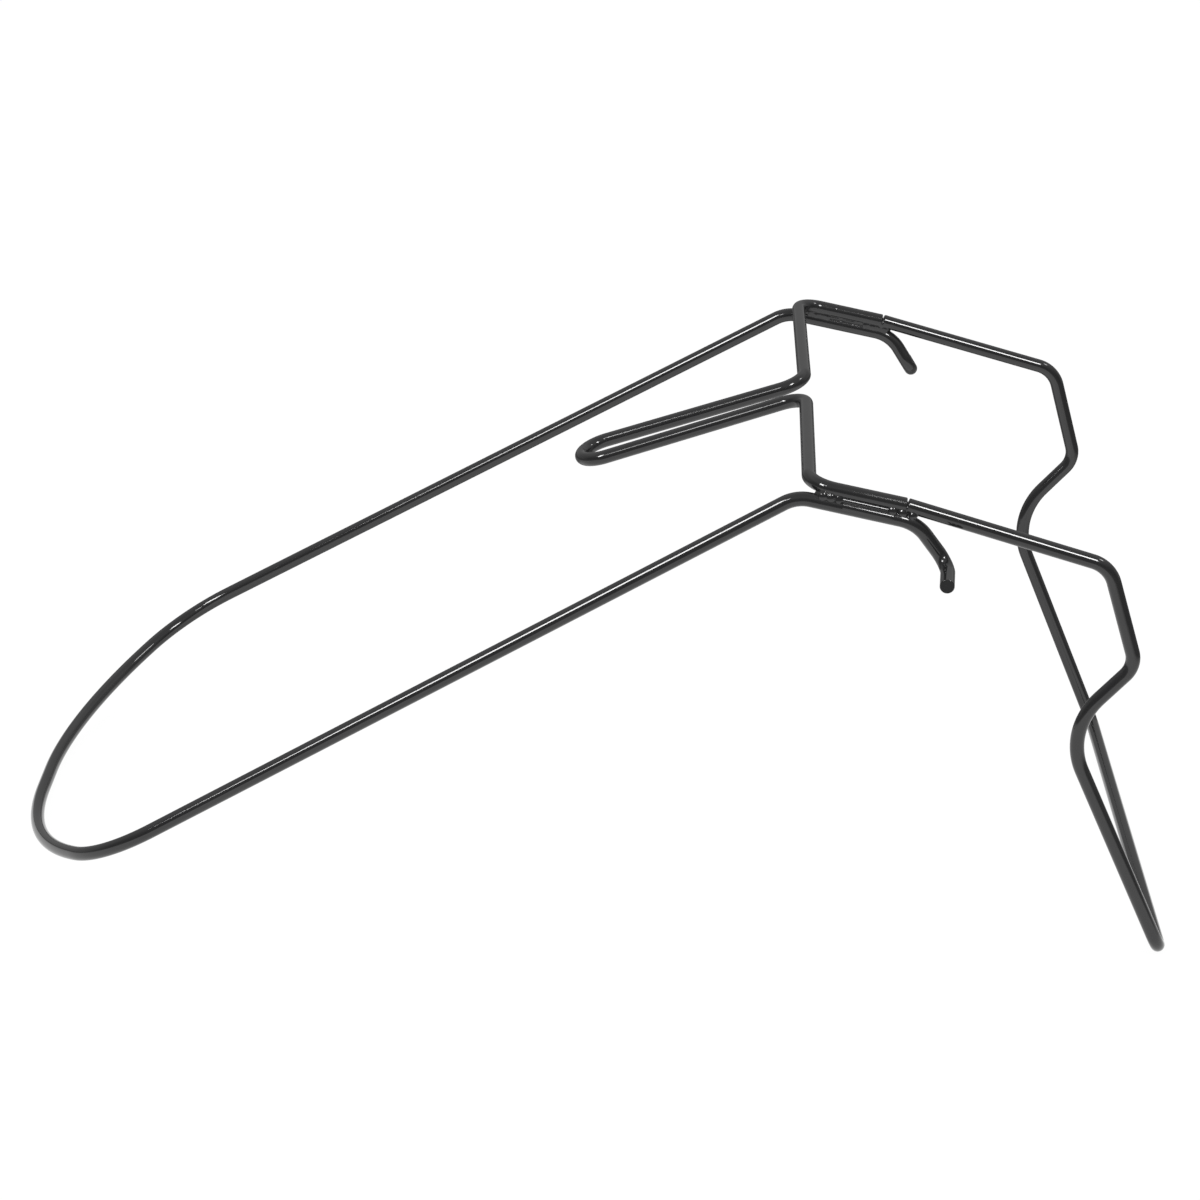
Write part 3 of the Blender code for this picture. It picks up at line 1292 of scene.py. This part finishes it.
@dataclass(frozen=True)
class StudioRoom:
    """The room round the floor: white to the camera, and to the paint dim in front and grey elsewhere.

    Args:
        front: how bright the camera's side is at each elevation in degrees, where white is 1.
        back: how bright the far side is.
        blend: how far the two sides run into each other, as a share of the direction's length.
    """

    front: tuple[tuple[float, float], ...] = (
        (-90.0, 0.30), (-8.0, 0.22), (0.0, 0.11), (12.0, 0.09), (25.0, 0.20), (40.0, 0.42),
        (90.0, 0.40),
    )
    back: tuple[tuple[float, float], ...] = (
        (-90.0, 0.40), (0.0, 0.34), (12.0, 0.34), (28.0, 0.40), (45.0, 0.60), (90.0, 0.42),
    )
    blend: float = 0.35

    def build(self) -> None:
        """Make the world and give it to the scene."""
        world = bpy.data.worlds.new("studio_room")
        world.use_nodes = True
        tree = world.node_tree
        tree.nodes.clear()
        direction = add_node(tree, "ShaderNodeTexCoord").outputs["Generated"]
        parts = add_node(tree, "ShaderNodeSeparateXYZ", {"Vector": direction}).outputs
        height = mapped(tree, parts["Z"], (-1.0, 1.0))
        behind = mapped(tree, parts["Y"], (-self.blend, self.blend), smooth=True)
        both = add_node(tree, "ShaderNodeMix", {
            "Factor": behind, "A": self._ramp(tree, height, self.front),
            "B": self._ramp(tree, height, self.back)}, data_type="RGBA")
        room = add_node(tree, "ShaderNodeBackground", {"Color": both.outputs["Result"]})
        white = add_node(tree, "ShaderNodeBackground", {"Color": (1.0, 1.0, 1.0, 1.0)})
        show_to_camera(tree, white.outputs["Background"], room.outputs["Background"], "ShaderNodeOutputWorld")
        bpy.context.scene.world = world

    @staticmethod
    def _ramp(tree: bpy.types.NodeTree, height: bpy.types.NodeSocket,
              levels: tuple[tuple[float, float], ...]) -> bpy.types.NodeSocket:
        """Return the grey at a direction's height.

        Args:
            tree: the world's tree.
            height: the direction's height, from 0 straight down to 1 straight up.
            levels: the grey at each elevation in degrees.

        Returns:
            The ramp's colour.
        """
        ramp = tree.nodes.new("ShaderNodeValToRGB")
        stops = ramp.color_ramp.elements
        while len(stops) < len(levels):
            stops.new(0.5)
        for stop, (elevation, level) in zip(stops, levels):
            stop.position = (math.sin(math.radians(elevation)) + 1) / 2
            stop.color = (level, level, level, 1.0)
        tree.links.new(height, ramp.inputs["Fac"])
        return ramp.outputs["Color"]


@dataclass
class Studio:
    """Floor, room, lamps and camera.

    Args:
        floor: the floor.
        room: the room.
        camera: the camera.
        lamps: the lamps.
        target: the point that they face.
    """

    floor: PaleFloor = field(default_factory=PaleFloor)
    room: StudioRoom = field(default_factory=StudioRoom)
    camera: CameraStand = field(default_factory=CameraStand)
    lamps: tuple[SoftBox, ...] = (
        SoftBox("softbox_left", -132.6, 38.0, 7.0, 1.60, 2.19, 20.5),
        SoftBox("softbox_right", -57.6, 44.0, 6.0, 1.10, 1.50, 23.0, roll_deg=-32.0),
        SoftBox("softbox_front", 0.0, 50.0, 5.0, 0.80, 0.60, 11.0),
        SoftBox("softbox_middle", -112.5, 43.0, 3.0, 0.27, 0.45, 11.0),
    )
    target: tuple[float, float, float] = (0.0, 0.0, 0.15)

    def build(self) -> None:
        """Make the studio."""
        self.floor.build()
        self.room.build()
        for lamp in self.lamps:
            lamp.build(Vector(self.target))
        self.camera.build()
        bpy.context.scene.view_settings.view_transform = "Standard"


@dataclass
class BagFrame:
    """The whole frame: three rods and two welded joints.

    Args:
        joint: the sizes at the joints.
        steps: how finely the bends are drawn.
        paint: the finish of the rods.
        weld_paint: the finish of the welds.
        end_paint: the finish of the rods' cut ends, where the coat is thin and dull.
    """

    joint: JointSizes = field(default_factory=JointSizes)
    steps: ArcSteps = field(default_factory=ArcSteps)
    paint: GlossPaint = field(default_factory=GlossPaint)
    weld_paint: GlossPaint = field(default_factory=lambda: GlossPaint(
        name="gloss_black_weld", wave_depth=0.00005))
    end_paint: GlossPaint = field(default_factory=lambda: GlossPaint(
        name="dull_black_end", roughness=0.30, dullest=0.45, ior=1.28, patch_size=0.003,
        peel_size=0.0012, peel_depth=0.00002))

    def build(self) -> None:
        """Build and dress every piece."""
        loop = LoopRod(self.joint, self.steps)
        handle = HandleRod(self.joint, self.steps)
        mouth = MouthRod(self.joint, self.steps)
        rods = (loop, handle, mouth)
        pose = Stance(loop, mouth, tuple(rod.centre_line() for rod in rods)).matrix()
        sweep, ripple = RodSweep(), BeadRipple()
        coat, end_coat = self.paint.material(), self.end_paint.material()
        for rod in rods:
            SweptRod(rod, sweep).build(pose, coat, end_coat)
        weld_coat = self.weld_paint.material()
        for side in Side:
            self.weld(side, loop, (handle, mouth), sweep, ripple).build(pose, weld_coat)

    def weld(self, side: Side, loop: LoopRod, uppers: tuple[RodRoute, ...], sweep: RodSweep,
             ripple: BeadRipple) -> WeldedJoint:
        """Plan one side's weld.

        Args:
            side: the side.
            loop: the lower rod.
            uppers: the rods that lie on it.
            sweep: the tool that draws rods.
            ripple: the tool that draws beads.

        Returns:
            The weld.
        """
        plans = (
            BeadPlan(Face.OUTER, 0.0112, 0.0270, height=0.0070, length=0.0062, pitch=0.0043),
            BeadPlan(Face.OUTER, 0.0520, 0.0700, height=0.0070, length=0.0062, pitch=0.0040),
            BeadPlan(Face.INNER, 0.0125, 0.0290, reach=0.0041),
            BeadPlan(Face.INNER, 0.0495, 0.0680, reach=0.0041),
        )
        runs = (
            SmoothRun(Face.OUTER, 0.0255, 0.0545, radius=0.0018, height=0.0001, out=0.0018, fall=0.0006,
                      sink=0.0011),
            SmoothRun(Face.OUTER, 0.0265, 0.0560, radius=0.0030, height=-0.0034, out=0.0019, fall=0.0005,
                      sink=0.0002),
        )
        reach = {Face.OUTER: 0.0010, Face.INNER: 0.0031}
        return WeldedJoint(side, self.joint, loop, uppers, plans, runs, reach, sweep, ripple)


def main() -> None:
    """Build the studio and the frame."""
    logging.basicConfig(level=logging.INFO, format="%(message)s")
    Studio().build()
    BagFrame().build()


if __name__ == "__main__":
    main()
